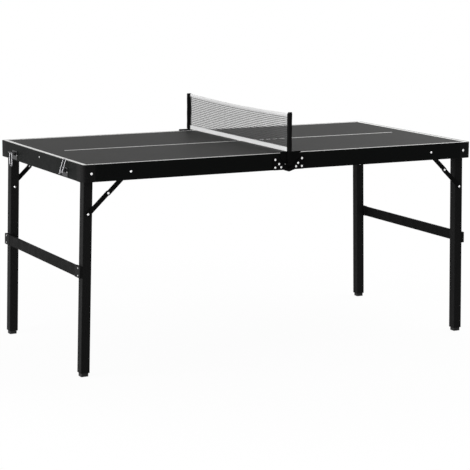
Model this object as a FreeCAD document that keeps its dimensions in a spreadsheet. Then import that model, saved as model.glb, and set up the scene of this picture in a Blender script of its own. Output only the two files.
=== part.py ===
import FreeCAD, Part
import math
import os
import Sketcher
from FreeCAD import Rotation, Vector

# A folding table for table tennis. Two square halves hinge at the middle and close like a case.
# Frame: X runs along the table, Y across it, +Z up. The origin is on the floor under the middle.
# The left half is at -X and the front is at -Y.

SIZES = {
    # the two halves
    "half_length": 760, "table_width": 760, "table_height": 707, "apron_height": 57,
    "rail_width": 14, "rail_wall": 1.6, "lip_width": 6, "board_thickness": 9, "board_play": 0.3,
    "board_corner": 3, "corner_arm": 46, "corner_radius": 16, "seam_gap": 0.4,
    "plug_depth": 10, "plug_play": 0.1,
    "beam_width": 22, "beam_height": 16, "beam_wall": 1.5, "beam_rivet_drop": 17,
    # rivets
    "rivet_radius": 2.4, "rivet_head": 3.9, "rivet_dome": 1.8, "rivet_play": 0.05,
    # legs, which lean outwards a little
    "leg_size": 32, "leg_wall": 1.5, "leg_corner": 2.2, "leg_end_inset": 32.7, "leg_side_inset": 42.5,
    "leg_lean": 1.5, "pivot_drop": 29.5, "leg_rise": 6, "pivot_radius": 3.2, "pivot_play": 0.05,
    "pivot_head": 4.3, "spacer_radius": 8, "spacer_gap": 0.3,
    "foot_height": 12, "foot_width": 26, "foot_corner": 3, "foot_stem": 26, "foot_play": 0.1,
    "foot_trim": 1,
    "bar_height": 36.5, "bar_thickness": 7.6, "bar_level": 351, "bar_wall": 1.3,
    "cap_length": 42, "cap_wall": 1, "cap_rivet_spacing": 25,
    # folding braces
    "brace_reach": 139, "brace_drop": 135, "link_width": 16, "link_thickness": 2.5,
    "link_gap": 2.2, "link_inset": 17.5, "link_rivet": 3, "link_head": 4,
    # hinges between the halves
    "leaf_thickness": 2.5, "leaf_length": 61, "leaf_height": 46, "leaf_corner": 4, "leaf_toe": 9,
    "eye_radius": 6.5, "eye_gap": 0.3, "hinge_pin": 3, "hinge_head": 5,
    "tongue_length": 22, "tongue_height": 13,
    "leaf_rivet_far": 52.2, "leaf_rivet_mid": 37.1, "leaf_rivet_near": 29,
    "leaf_rivet_high": 36.3, "leaf_rivet_middle": 21, "leaf_rivet_low": 9.6,
    # draw latches on the left end
    "latch_inset": 145, "latch_width": 46, "latch_height": 31, "latch_plate": 1.5, "latch_drop": 38,
    "latch_rise": 5, "latch_stand": 7, "latch_ear": 2, "latch_ear_gap": 0.4, "latch_pin": 1.5,
    "latch_nose": 4,
    "latch_rivet": 1.8, "latch_head": 3.4, "latch_rivets_apart": 38,
    "lever_width": 12, "lever_length": 18, "lever_plate": 2, "lever_eye": 3,
    "bail_arm": 10, "bail_wire": 1.5, "bail_width": 25, "bail_bend": 5, "bail_length": 47,
    "lowered_lever": -38, "lifted_lever": 21, "raised_bail": 108, "hung_bail": -90,
    # catches and handle on the right end
    "catch_width": 26, "catch_height": 24, "catch_drop": 29, "catch_reach": 8, "catch_lip": 8,
    "catch_hook": 14, "catch_foot": 15, "catch_rivets_apart": 16, "catch_rivet_low": 6,
    "handle_width": 120, "handle_length": 30, "handle_bar": 7, "handle_drop": 26,
    "handle_stand": 11, "handle_pin": 2.5, "handle_stub": 10, "handle_bend": 8,
    "mount_length": 14, "mount_height": 24, "mount_depth": 16.5, "mount_gap": 0.4,
    # net
    "post_width": 12, "post_depth": 7, "post_wall": 1.2, "post_top": 140, "post_foot": 41,
    "plate_thickness": 3, "plate_top": 5.5, "plate_drop": 32, "plate_long": 46, "plate_short": 33,
    "plate_foot": 37, "plate_shoulder": 12, "plate_gap": 0.4,
    "socket_width": 30, "socket_height": 8, "socket_wall": 2, "socket_play": 0.5,
    "socket_flange": 16.2, "socket_rivet_place": 12.9, "socket_rivet": 1.5, "socket_head": 3,
    "socket_low": 15.6,
    "sleeve_wall": 1.3, "sleeve_play": 0.3, "sleeve_low": 6, "band_width": 4,
    "tape_high": 124.5, "tape_top": 135.5, "hem_low": 4, "hem_top": 19,
    "net_thickness": 1.6, "tape_thickness": 2.4,
}

doc = FreeCAD.newDocument("table")
sheet = doc.addObject("Spreadsheet::Sheet", "Sizes")
for row_number, (alias, number) in enumerate(SIZES.items(), start=1):
    sheet.set(f"A{row_number}", alias)
    sheet.set(f"B{row_number}", str(number))
    sheet.setAlias(f"B{row_number}", alias)
doc.recompute()


class Names(dict):
    """Turns a size's name into the cell it is kept in, for use inside an expression."""
    def __missing__(self, name):
        return f"Sizes.{name}"


def e(text, **values):
    """An expression: each {name} in the text becomes the sheet's cell of that name."""
    return "(" + text.format_map(Names(values)) + ")"


def number(expression):
    """What an expression comes to, as a plain number."""
    result = sheet.evalExpression(str(expression))
    return float(getattr(result, "Value", result))

TOP = e("{table_height}")
RIM = e("{table_height} - {apron_height}")
SHELF = e("{table_height} - {board_thickness}")
LEG_FACE = e("{table_width} / 2 - {leg_side_inset} + {leg_size} / 2")
SIDES = (("left", -1), ("right", 1))
ROWS = (("front", -1), ("back", 1))
TURNED = {
    "XY": (Rotation(), "z", "min"),
    "XZ": (Rotation(Vector(1, 0, 0), 90), "y", "max"),
    "YZ": (Rotation(Vector(1, 1, 1), 120), "x", "min"),
}
LYING = {
    "x": Rotation(Vector(0, 1, 0), 90),
    "y": Rotation(Vector(1, 0, 0), -90),
    "z": Rotation(),
}
nodes = []


def times(sign, text, **values):
    """An expression of one side: the text's value, or its negative."""
    return e("{sign} * (" + text + ")", sign=sign, **values)


def keep(piece, name):
    """Gives a finished sub-part its name."""
    piece.Label = name
    nodes.append(piece)
    return piece


def box(xs, ys, zs):
    """A block between two limits on each axis."""
    piece = doc.addObject("Part::Box", "Block")
    for size, axis, (one, other) in zip(("Length", "Width", "Height"), "xyz", (xs, ys, zs)):
        piece.setExpression(size, f"abs({one} - {other})")
        piece.setExpression(f"Placement.Base.{axis}", f"min({one}; {other})")
    return piece


def rod(axis, radius, span, at):
    """A cylinder along an axis, from one limit to the other, centred at two places on the other axes."""
    piece = doc.addObject("Part::Cylinder", "Rod")
    piece.Placement = FreeCAD.Placement(Vector(), LYING[axis])
    piece.setExpression("Radius", str(radius))
    piece.setExpression("Height", f"abs({span[0]} - {span[1]})")
    piece.setExpression(f"Placement.Base.{axis}", f"min({span[0]}; {span[1]})")
    for other, place in zip([a for a in "xyz" if a != axis], at):
        piece.setExpression(f"Placement.Base.{other}", str(place))
    return piece


def joined(*pieces):
    """One solid made of several that meet."""
    piece = doc.addObject("Part::MultiFuse", "Joined")
    piece.Shapes = list(pieces)
    piece.Refine = True
    return piece


def group(*pieces):
    """Several like solids that stay apart and share one node."""
    piece = doc.addObject("Part::Compound", "Group")
    piece.Links = list(pieces)
    return piece


def cut(base, *tools):
    """The base with the tools taken away."""
    piece = doc.addObject("Part::Cut", "Cut")
    piece.Base = base
    piece.Tool = joined(*tools) if len(tools) > 1 else tools[0]
    return piece


def fix(sketch, kind, expression, *where):
    """A dimension of a sketch, bound to an expression."""
    index = sketch.addConstraint(Sketcher.Constraint(kind, *where, number(expression)))
    sketch.setExpression(f"Constraints[{index}]", expression)


def draw_loop(sketch, corners):
    """A closed outline of straight sides. Each corner is (across, up) or (across, up, radius)."""
    at = [Vector(number(c[0]), number(c[1]), 0) for c in corners]
    count = len(corners)
    ends = []
    for i, corner in enumerate(corners):
        radius = number(corner[2]) if len(corner) > 2 else 0
        back, ahead = (at[i - 1] - at[i]).normalize(), (at[(i + 1) % count] - at[i]).normalize()
        half = back.getAngle(ahead) / 2
        ends.append((at[i] + back * (radius / math.tan(half)), at[i] + ahead * (radius / math.tan(half))))
    sides = []
    for i in range(count):
        line = Part.LineSegment(ends[i][1], ends[(i + 1) % count][0])
        sides.append(sketch.addGeometry(line, False))
    for i, corner in enumerate(corners):
        before, after = sides[i - 1], sides[i]
        if len(corner) == 2:
            sketch.addConstraint(Sketcher.Constraint("Coincident", before, 2, after, 1))
            fix(sketch, "DistanceX", corner[0], -1, 1, after, 1)
            fix(sketch, "DistanceY", corner[1], -1, 1, after, 1)
            continue
        mark = sketch.addGeometry(Part.Point(at[i]), True)
        fix(sketch, "DistanceX", corner[0], -1, 1, mark, 1)
        fix(sketch, "DistanceY", corner[1], -1, 1, mark, 1)
        for side in (before, after):
            sketch.addConstraint(Sketcher.Constraint("PointOnObject", mark, 1, side))
        inward = ((ends[i][0] + ends[i][1]) / 2 - at[i]).normalize()
        half = (ends[i][0] - at[i]).getAngle(inward)
        centre = at[i] + inward * (number(corner[2]) / math.sin(half))
        first, last = [math.atan2((p - centre).y, (p - centre).x) for p in ends[i]]
        forward = (last - first) % (2 * math.pi) < math.pi
        circle = Part.Circle(centre, Vector(0, 0, 1), number(corner[2]))
        sweep = (first, last) if forward else (last, first)
        arc = sketch.addGeometry(Part.ArcOfCircle(circle, *sweep), False)
        start, end = (1, 2) if forward else (2, 1)
        sketch.addConstraint(Sketcher.Constraint("Tangent", before, 2, arc, start))
        sketch.addConstraint(Sketcher.Constraint("Tangent", arc, end, after, 1))
        fix(sketch, "Radius", corner[2], arc)


def plate(plane, span, loops, holes=()):
    """An outline drawn in world coordinates on a plane and padded between two limits.
    The first loop is the outside and the rest are openings. A hole is (across, up, radius)."""
    turn, axis, end = TURNED[plane]
    body = doc.addObject("PartDesign::Body", "Plate")
    body.Placement = FreeCAD.Placement(Vector(), turn)
    sketch = body.newObject("Sketcher::SketchObject", "Outline")
    flat = [f for f in body.Origin.OriginFeatures if f.Role == "XY_Plane"][0]
    sketch.AttachmentSupport = [(flat, "")]
    sketch.MapMode = "FlatFace"
    for loop in loops:
        draw_loop(sketch, loop)
    for across, up, radius in holes:
        centre = Vector(number(across), number(up), 0)
        ring = sketch.addGeometry(Part.Circle(centre, Vector(0, 0, 1), number(radius)), False)
        fix(sketch, "DistanceX", across, -1, 1, ring, 3)
        fix(sketch, "DistanceY", up, -1, 1, ring, 3)
        fix(sketch, "Radius", radius, ring)
    pad = body.newObject("PartDesign::Pad", "Pad")
    pad.Profile = sketch
    pad.setExpression("Length", f"abs({span[0]} - {span[1]})")
    body.setExpression(f"Placement.Base.{axis}", f"{end}({span[0]}; {span[1]})")
    return body


def rectangle(xs, ys, radius=None):
    """The four corners of a rectangle, rounded if a radius is given."""
    places = [(xs[0], ys[0]), (xs[1], ys[0]), (xs[1], ys[1]), (xs[0], ys[1])]
    return [place if radius is None else (*place, radius) for place in places]


def rivet(axis, seat, depth, out, at, radius="{rivet_radius}", head="{rivet_head}"):
    """A shank that goes in from its seat, under a low domed head. out is +1 or -1, the way it faces.
    The dome is the cap of a ball whose size follows from the head's radius and height."""
    shank = rod(axis, e(radius), (seat, e("{seat} - {out} * ({depth})", seat=seat, out=out, depth=depth)), at)
    ball = e("((" + head + ")^2 + {rivet_dome}^2) / (2 * {rivet_dome})")
    dome = doc.addObject("Part::Sphere", "Dome")
    turn = LYING[axis] if out > 0 else LYING[axis] * Rotation(Vector(1, 0, 0), 180)
    dome.Placement = FreeCAD.Placement(Vector(), turn)
    dome.setExpression("Radius", ball)
    dome.setExpression("Angle1", f"asin(({ball} - Sizes.rivet_dome) / {ball}) / 1 deg")
    dome.setExpression(
        f"Placement.Base.{axis}",
        e("{seat} - {out} * ({ball} - {rivet_dome})", seat=seat, out=out, ball=ball),
    )
    for other, place in zip([a for a in "xyz" if a != axis], at):
        dome.setExpression(f"Placement.Base.{other}", str(place))
    return joined(shank, dome)


def drill(axis, span, at, radius="{rivet_radius} + {rivet_play}"):
    """The hole that a rivet or pin passes through."""
    return rod(axis, e(radius), span, at)


# Rails: hollow bars with a lip that stands up past the board's edge
def rail(plane, inward, span, lip="{lip_width}"):
    """inward turns a distance from the outer face into a place across the rail."""
    outside = [
        (inward("0"), RIM, e("{rail_wall}")),
        (inward("{rail_width}"), RIM),
        (inward("{rail_width}"), SHELF),
        (inward(lip), SHELF),
        (inward(lip), TOP),
        (inward("0"), TOP),
    ]
    hollow = rectangle(
        (inward("{rail_wall}"), inward("{rail_width} - {rail_wall}")),
        (e("{rim} + {rail_wall}", rim=RIM), e("{shelf} - {rail_wall}", shelf=SHELF)),
    )
    return plate(plane, span, (outside, hollow))


def leaf_rivets(side):
    """Where the four rivets of one hinge leaf go, as places along and up."""
    places = (("far", "high"), ("mid", "middle"), ("far", "low"), ("near", "low"))
    return [
        (times(side, "{leaf_rivet_" + along + "}"), e("{rim} + {leaf_rivet_" + up + "}", rim=RIM))
        for along, up in places
    ]


def brace_seat(side):
    """Where a folding brace is riveted to the side rail."""
    along = times(side, "{half_length} - {leg_end_inset} - {brace_reach}")
    return along, e("{top} - {pivot_drop}", top=TOP)


def outer_face(row):
    return times(row, "{table_width} / 2")


SOCKET_RIVET = (e("-{socket_rivet_place}"), e("{rim} + {socket_low} + {socket_height} / 2", rim=RIM))
LATCH_PLACE = "{table_width} / 2 - {latch_inset}"
LATCH_LEVEL = e("{top} - {latch_drop}", top=TOP)
LATCH_AXIS = e("{level} + {latch_rise}", level=LATCH_LEVEL)
LATCH_RIVETS = [
    (times(row, LATCH_PLACE + " + {end} * {latch_rivets_apart} / 2", end=end), LATCH_LEVEL)
    for row in (-1, 1)
    for end in (-1, 1)
]
CATCH_LEDGE = e("{top} - {catch_drop}", top=TOP)
CATCH_RIVETS = [
    (
        times(row, LATCH_PLACE + " + {end} * {catch_rivets_apart} / 2", end=end),
        e("{ledge} - {catch_foot} + {catch_rivet_low}", ledge=CATCH_LEDGE),
    )
    for row in (-1, 1)
    for end in (-1, 1)
]

for hand, side in SIDES:
    near_seam = times(side, "{seam_gap} / 2")
    for place, row in ROWS:
        through = (outer_face(row), times(row, "{table_width} / 2 - {rail_width}"))
        bar = rail(
            "YZ",
            lambda inward, row=row: times(row, "{table_width} / 2 - (" + inward + ")"),
            (near_seam, times(side, "{half_length} - {corner_arm}")),
        )
        holes = [drill("y", through, at) for at in leaf_rivets(side)]
        holes.append(drill("y", through, brace_seat(side), "{link_rivet} + {rivet_play}"))
        if side < 0:
            wall = (through[0], times(row, "{table_width} / 2 - {rail_wall} * 2"))
            holes.append(drill("y", wall, SOCKET_RIVET, "{socket_rivet} + {rivet_play}"))
        keep(cut(bar, *holes), f"{hand}_{place}_rail")
    end_rail = rail(
        "XZ",
        lambda inward: times(side, "{half_length} - (" + inward + ")"),
        (e("{corner_arm} - {table_width} / 2"), e("{table_width} / 2 - {corner_arm}")),
    )
    end_span = (times(side, "{half_length}"), times(side, "{half_length} - {rail_width}"))
    wall = (end_span[0], times(side, "{half_length} - {rail_wall} * 2"))
    holes = [drill("x", end_span, ("0", e("{top} - {beam_rivet_drop}", top=TOP)))]
    small = LATCH_RIVETS if side < 0 else CATCH_RIVETS
    holes += [drill("x", wall, at, "{latch_rivet} + {rivet_play}") for at in small]
    keep(cut(end_rail, *holes), f"{hand}_end_rail")
    inner_rail = rail(
        "XZ",
        lambda inward: times(side, "{seam_gap} / 2 + " + inward),
        (e("{rail_width} - {table_width} / 2"), e("{table_width} / 2 - {rail_width}")),
        "{rail_wall}",
    )
    keep(inner_rail, f"{hand}_inner_rail")

# Plugs that close the side rails where the halves meet
for hand, side in SIDES:
    plugs = []
    for place, row in ROWS:
        wall = "{rail_wall} + {plug_play}"
        plugs.append(box(
            (times(side, "{seam_gap} / 2"), times(side, "{seam_gap} / 2 + {plug_depth}")),
            (times(row, "{table_width} / 2 - (" + wall + ")"),
             times(row, "{table_width} / 2 - {rail_width} + " + wall)),
            (e("{rim} + " + wall, rim=RIM), e("{shelf} - (" + wall + ")", shelf=SHELF)),
        ))
    keep(group(*plugs), f"{hand}_rail_plugs")


# Moulded corners that join a side rail and the end rail and carry the leg's pivot
def corner_loop(side, row, thick, *inner_radius):
    """An angle of one thickness that follows the frame's rounded corner."""
    def at(along, across, *radius):
        return (
            times(side, "{half_length} - (" + along + ")"),
            times(row, "{table_width} / 2 - (" + across + ")"),
            *radius,
        )
    return [
        at("0", "{corner_arm}"),
        at("0", "0", e("{corner_radius}")),
        at("{corner_arm}", "0"),
        at("{corner_arm}", thick),
        at(thick, thick, *inner_radius),
        at(thick, "{corner_arm}"),
    ]


def leg_place(side, row):
    """The middle of a leg, seen from above."""
    return (
        times(side, "{half_length} - {leg_end_inset}"),
        times(row, "{table_width} / 2 - {leg_side_inset}"),
    )


PIVOT = e("{top} - {pivot_drop}", top=TOP)
PIVOT_HOLE = "{pivot_radius} + {pivot_play}"
for hand, side in SIDES:
    corners = []
    for place, row in ROWS:
        block = plate("XY", (RIM, SHELF), [corner_loop(side, row, "{rail_width}")])
        bend = e("{board_corner} + {board_play}")
        lip = plate("XY", (SHELF, TOP), [corner_loop(side, row, "{lip_width}", bend)])
        across = (outer_face(row), times(row, "{table_width} / 2 - {rail_width}"))
        hole = drill("y", across, (leg_place(side, row)[0], PIVOT), PIVOT_HOLE)
        corners.append(cut(joined(block, lip), hole))
    keep(group(*corners), f"{hand}_corners")

# Boards: one square panel to each half, let in flush with the lips
for hand, side in SIDES:
    inner = times(side, "{seam_gap} / 2 + {rail_wall} + {board_play}")
    outer = times(side, "{half_length} - {lip_width} - {board_play}")
    half_width = "{table_width} / 2 - {lip_width} - {board_play}"
    bend = e("{board_corner}")
    loop = [
        (inner, times(-1, half_width)),
        (outer, times(-1, half_width), bend),
        (outer, times(1, half_width), bend),
        (inner, times(1, half_width)),
    ]
    keep(plate("XY", (SHELF, TOP), [loop]), f"{hand}_board")

# A beam under the middle of each board
for hand, side in SIDES:
    xs = (times(side, "{seam_gap} / 2 + {rail_width}"), times(side, "{half_length} - {rail_width}"))
    low = e("{shelf} - {beam_height}", shelf=SHELF)
    bar = box(xs, (e("-{beam_width} / 2"), e("{beam_width} / 2")), (low, SHELF))
    hollow = box(
        xs,
        (e("{beam_wall} - {beam_width} / 2"), e("{beam_width} / 2 - {beam_wall}")),
        (e("{low} + {beam_wall}", low=low), e("{shelf} - {beam_wall}", shelf=SHELF)),
    )
    keep(cut(bar, hollow), f"{hand}_beam")

LEAN_OUT = e("sin({leg_lean} * 1 deg)")
LEAN_DOWN = e("cos({leg_lean} * 1 deg)")


def lean(piece, side):
    """Leans a piece of the legs outwards about their pivots."""
    pivot = Vector(number(leg_place(side, 1)[0]), 0, number(PIVOT))
    turn = Rotation(Vector(0, 1, 0), -side * number("Sizes.leg_lean"))
    piece.Placement = FreeCAD.Placement(Vector(), turn, pivot)
    return piece


# Legs: square tubes that turn on a bolt through the corner
for hand, side in SIDES:
    for place, row in ROWS:
        x, y = leg_place(side, row)

        def square(half, x=x, y=y):
            return (
                (e("{x} - (" + half + ")", x=x), e("{x} + " + half, x=x)),
                (e("{y} - (" + half + ")", y=y), e("{y} + " + half, y=y)),
            )
        tube = plate(
            "XY",
            (e("{foot_height}"), e("{pivot} + {leg_rise}", pivot=PIVOT)),
            [
                rectangle(*square("{leg_size} / 2"), e("{leg_corner}")),
                rectangle(*square("{leg_size} / 2 - {leg_wall}"), e("{leg_corner} - {leg_wall}")),
            ],
        )
        face_x = e("{x} + {side} * {leg_size} / 2", x=x, side=side)
        wall_x = (face_x, e("{face} - {side} * {leg_wall} * 2", face=face_x, side=side))
        bar_holes = [
            drill("x", wall_x, (y, e("{bar_level} + {end} * {cap_rivet_spacing} / 2", end=end)))
            for end in (-1, 1)
        ]
        through = (times(row, LEG_FACE), times(row, LEG_FACE + " - {leg_size}"))
        brace_hole = (x, e("{pivot} - {brace_drop}", pivot=PIVOT))
        leg = cut(
            tube,
            drill("y", through, (x, PIVOT), PIVOT_HOLE),
            drill("y", through, brace_hole, "{link_rivet} + {rivet_play}"),
            *bar_holes,
        )
        keep(lean(leg, side), f"{hand}_{place}_leg")

# Feet: plugs pushed into the tubes, cut off level with the floor
for hand, side in SIDES:
    feet = []
    for place, row in ROWS:
        x, y = leg_place(side, row)

        def around(half, x=x, y=y):
            return rectangle(
                (e("{x} - (" + half + ")", x=x), e("{x} + " + half, x=x)),
                (e("{y} - (" + half + ")", y=y), e("{y} + " + half, y=y)),
                e("{foot_corner}"),
            )
        sole = plate("XY", (e("-{foot_trim}"), e("{foot_height}")), [around("{foot_width} / 2")])
        stem = plate(
            "XY",
            (e("{foot_height}"), e("{foot_height} + {foot_stem}")),
            [around("{leg_size} / 2 - {leg_wall} - {foot_play}")],
        )
        floor = box(
            (e("{x} - {leg_size} * 2", x=x), e("{x} + {leg_size} * 2", x=x)),
            (e("{y} - {leg_size}", y=y), e("{y} + {leg_size}", y=y)),
            (e("-{foot_trim} * 2"), "0"),
        )
        feet.append(cut(lean(joined(sole, stem), side), floor))
    keep(group(*feet), f"{hand}_feet")

# Crossbars: a flat hollow bar riveted across each pair of legs, with a moulded cap over each end
for hand, side in SIDES:
    face = e("{half_length} - {leg_end_inset} + {leg_size} / 2")
    xs = (times(side, face + " + {cap_wall}"), times(side, face + " + {cap_wall} + {bar_thickness}"))
    reach = e(LEG_FACE + " - {cap_wall}")
    zs = (e("{bar_level} - {bar_height} / 2"), e("{bar_level} + {bar_height} / 2"))
    bar = box(xs, (times(-1, reach), reach), zs)
    hollow = box(
        (times(side, face + " + {cap_wall} + {bar_wall}"),
         times(side, face + " + {cap_wall} + {bar_thickness} - {bar_wall}")),
        (times(-1, reach), reach),
        (e("{low} + {bar_wall}", low=zs[0]), e("{high} - {bar_wall}", high=zs[1])),
    )
    ends = [(row, lift) for _, row in ROWS for lift in (-1, 1)]
    places = [
        (leg_place(side, row)[1], e("{bar_level} + {lift} * {cap_rivet_spacing} / 2", lift=lift))
        for row, lift in ends
    ]
    across = (times(side, face), times(side, face + " + {cap_wall} * 2 + {bar_thickness}"))
    crossbar = cut(bar, hollow, *[drill("x", across, at) for at in places])
    keep(lean(crossbar, side), f"{hand}_crossbar")
    caps = []
    for place, row in ROWS:
        ys = (times(row, LEG_FACE), times(row, LEG_FACE + " - {cap_length}"))
        shell = box(
            across,
            ys,
            (e("{low} - {cap_wall}", low=zs[0]), e("{high} + {cap_wall}", high=zs[1])),
        )
        socket = box(xs, (times(row, reach), ys[1]), zs)
        own = [at for at, (end, _) in zip(places, ends) if end == row]
        caps.append(cut(shell, socket, *[drill("x", across, at) for at in own]))
    keep(lean(group(*caps), side), f"{hand}_bar_caps")

    # the rivets that the legs carry: through the caps, and under the braces
    depth = e("{cap_wall} * 2 + {bar_thickness} + {leg_wall}")
    heads = [rivet("x", across[1], depth, side, at) for at in places]
    for place, row in ROWS:
        x = leg_place(side, row)[0]
        at = (x, e("{pivot} - {brace_drop}", pivot=PIVOT))
        outer = "{table_width} / 2 - {link_inset} - {link_thickness} - {link_gap}"
        seat = times(row, outer)
        inner = e("{outer} - {link_thickness}", outer=e(outer))
        pin = rivet("y", seat, e("{outer} - {face}", outer=e(outer), face=LEG_FACE), row, at,
                    "{link_rivet}", "{link_head}")
        collar = rod("y", e("{link_head}"), (times(row, LEG_FACE), times(row, inner)), at)
        tail = rivet("y", times(row, LEG_FACE + " - {leg_size}"), e("{leg_size}"), -row, at,
                     "{link_rivet}", "{link_head}")
        heads.append(joined(pin, collar, tail))
    keep(lean(group(*heads), side), f"{hand}_leg_rivets")

# Leg pivots: a bolt through the corner, a spacer and the leg
for hand, side in SIDES:
    bolts, spacers = [], []
    for place, row in ROWS:
        at = (leg_place(side, row)[0], PIVOT)
        inner_face = e("{table_width} / 2 - {leg_side_inset} - {leg_size} / 2")
        length = e("{table_width} / 2 - {inner} + {spacer_gap}", inner=inner_face)
        bolt = rivet("y", outer_face(row), length, row, at, "{pivot_radius}", "{pivot_head}")
        tail_span = (
            times(row, "{inner} - {spacer_gap}", inner=inner_face),
            times(row, "{inner} - {spacer_gap} - {rivet_dome}", inner=inner_face),
        )
        bolts.append(joined(bolt, rod("y", e("{pivot_head}"), tail_span, at)))
        span = (times(row, LEG_FACE + " + {spacer_gap}"), times(row, "{table_width} / 2 - {rail_width}"))
        spacers.append(cut(rod("y", e("{spacer_radius}"), span, at), drill("y", span, at, PIVOT_HOLE)))
    keep(group(*bolts), f"{hand}_leg_bolts")
    keep(group(*spacers), f"{hand}_leg_spacers")

# Folding braces: two flat links to each leg, straight when the leg is down and folded flat when it is up.
# The links' lengths differ by as much as their two seats do, so that they close on each other.
SPAN = e("sqrt({brace_reach}^2 + {brace_drop}^2 + 2 * {brace_reach} * {brace_drop} * {out})", out=LEAN_OUT)
UPPER = e("({span} + {brace_reach} - {brace_drop}) / 2", span=SPAN)
LOWER = e("({span} - {brace_reach} + {brace_drop}) / 2", span=SPAN)


def link(length, thick_span):
    """A flat bar with round ends and a hole at each, from the origin along +X."""
    half = e("{link_width} / 2")
    bar = box(("0", length), (times(-1, half), half), thick_span)
    ends = [rod("z", half, thick_span, (place, "0")) for place in ("0", length)]
    holes = [
        drill("z", thick_span, (place, "0"), "{link_rivet} + {pivot_play}")
        for place in ("0", length)
    ]
    return cut(joined(bar, *ends), *holes)


def lay(piece, start, end, depth):
    """Stands a flat piece up in the plane across Y, from one point of that plane towards another."""
    angle = math.degrees(math.atan2(end[1] - start[1], end[0] - start[0]))
    upright = Rotation(Vector(1, 0, 0), 90)
    turn = Rotation(Vector(0, 1, 0), -angle)
    piece.Placement = FreeCAD.Placement(Vector(start[0], depth, start[1]), turn * upright)
    return piece


for hand, side in SIDES:
    upper_links, lower_links, joint_rivets = [], [], []
    for place, row in ROWS:
        rail_end = [number(expression) for expression in brace_seat(side)]
        leg_x = leg_place(side, row)[0]
        leg_end = [
            number(e("{x} + {side} * {brace_drop} * {out}", x=leg_x, side=side, out=LEAN_OUT)),
            number(e("{pivot} - {brace_drop} * {down}", pivot=PIVOT, down=LEAN_DOWN)),
        ]
        share = number(UPPER) / number(SPAN)
        middle = [a + (b - a) * share for a, b in zip(rail_end, leg_end)]
        outer = number(times(row, "{table_width} / 2 - {link_inset}"))
        step = -row * number("Sizes.link_thickness")
        lower_outer = outer + step - row * number("Sizes.link_gap")
        half = e("{link_thickness} / 2")
        flat = (times(-1, half), half)
        upper_links.append(lay(link(UPPER, flat), rail_end, middle, outer + step / 2))
        lower_links.append(lay(link(LOWER, flat), leg_end, middle, lower_outer + step / 2))
        seat = times(row, "{table_width} / 2 - {link_inset}")
        depth = e("{link_thickness} + {link_gap} - {spacer_gap}")
        joint_rivets.append(rivet("y", seat, depth, row, middle, "{link_rivet}", "{link_head}"))
    keep(group(*upper_links), f"{hand}_upper_links")
    keep(group(*lower_links), f"{hand}_lower_links")
    keep(group(*joint_rivets), f"{hand}_link_rivets")

# Hinges: a three-cornered leaf on each side of the seam, turning on a pin at the frame's lower edge.
# The right leaf's tongue steps out in front of the left one's.
for hand, side in SIDES:
    leaves = []
    for place, row in ROWS:
        face = "{table_width} / 2"
        layer = (times(row, face), times(row, face + " + {leaf_thickness}"))
        step = "{leaf_thickness} + {eye_gap}" if side > 0 else "0"
        front = (times(row, face + " + " + step), times(row, face + " + {leaf_thickness} + " + step))

        def at(along, up, *radius, side=side):
            return (times(side, along), e("{rim} + " + up, rim=RIM), *radius)
        bend = e("{leaf_corner}")
        main = plate("XZ", layer, [[
            at("{leaf_toe}", "0"),
            at("{leaf_length}", "0", bend),
            at("{leaf_length}", "{leaf_height}", bend),
            at("{leaf_length} - {leaf_toe}", "{leaf_height}", bend),
            at("{leaf_toe}", "{leaf_toe}"),
        ]])
        tongue = plate("XZ", front, [[
            at("0", "-{eye_radius}"),
            at("{tongue_length}", "0"),
            at("{tongue_length}", "{tongue_height}"),
            at("0", "{eye_radius}"),
        ]])
        eye = rod("y", e("{eye_radius}"), front, ("0", RIM))
        pieces = [main, tongue, eye]
        if side > 0:
            pieces.append(box(
                (times(side, "{tongue_length} / 2"), times(side, "{tongue_length}")),
                (layer[0], front[1]),
                (RIM, e("{rim} + {tongue_height} / 2", rim=RIM)),
            ))
        whole = (layer[0], front[1])
        leaves.append(cut(
            joined(*pieces),
            drill("y", front, ("0", RIM), "{hinge_pin} + {pivot_play}"),
            *[drill("y", whole, spot) for spot in leaf_rivets(side)],
        ))
    keep(group(*leaves), f"{hand}_hinge_leaves")

pins = []
for place, row in ROWS:
    face = "{table_width} / 2"
    outer = face + " + {leaf_thickness} * 2 + {eye_gap} * 2"
    shank = rod("y", e("{hinge_pin}"), (times(row, face), times(row, outer)), ("0", RIM))
    head = rod("y", e("{hinge_head}"), (times(row, outer), times(row, outer + " + {rivet_dome}")), ("0", RIM))
    pins.append(joined(shank, head))
keep(group(*pins), "hinge_pins")

# Latches on the left end: a plate with two ears, a lever that turns between them, and a wire bail that
# turns on the lever. The front lever is down with its bail thrown up against the frame. The back one is
# lifted and its bail hangs.
def outward(side, text):
    """A place beyond an end face, as far out as the text says."""
    return times(side, "{half_length} + " + text)


def latch_side(row, text):
    return times(row, LATCH_PLACE + " + " + text)


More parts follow.
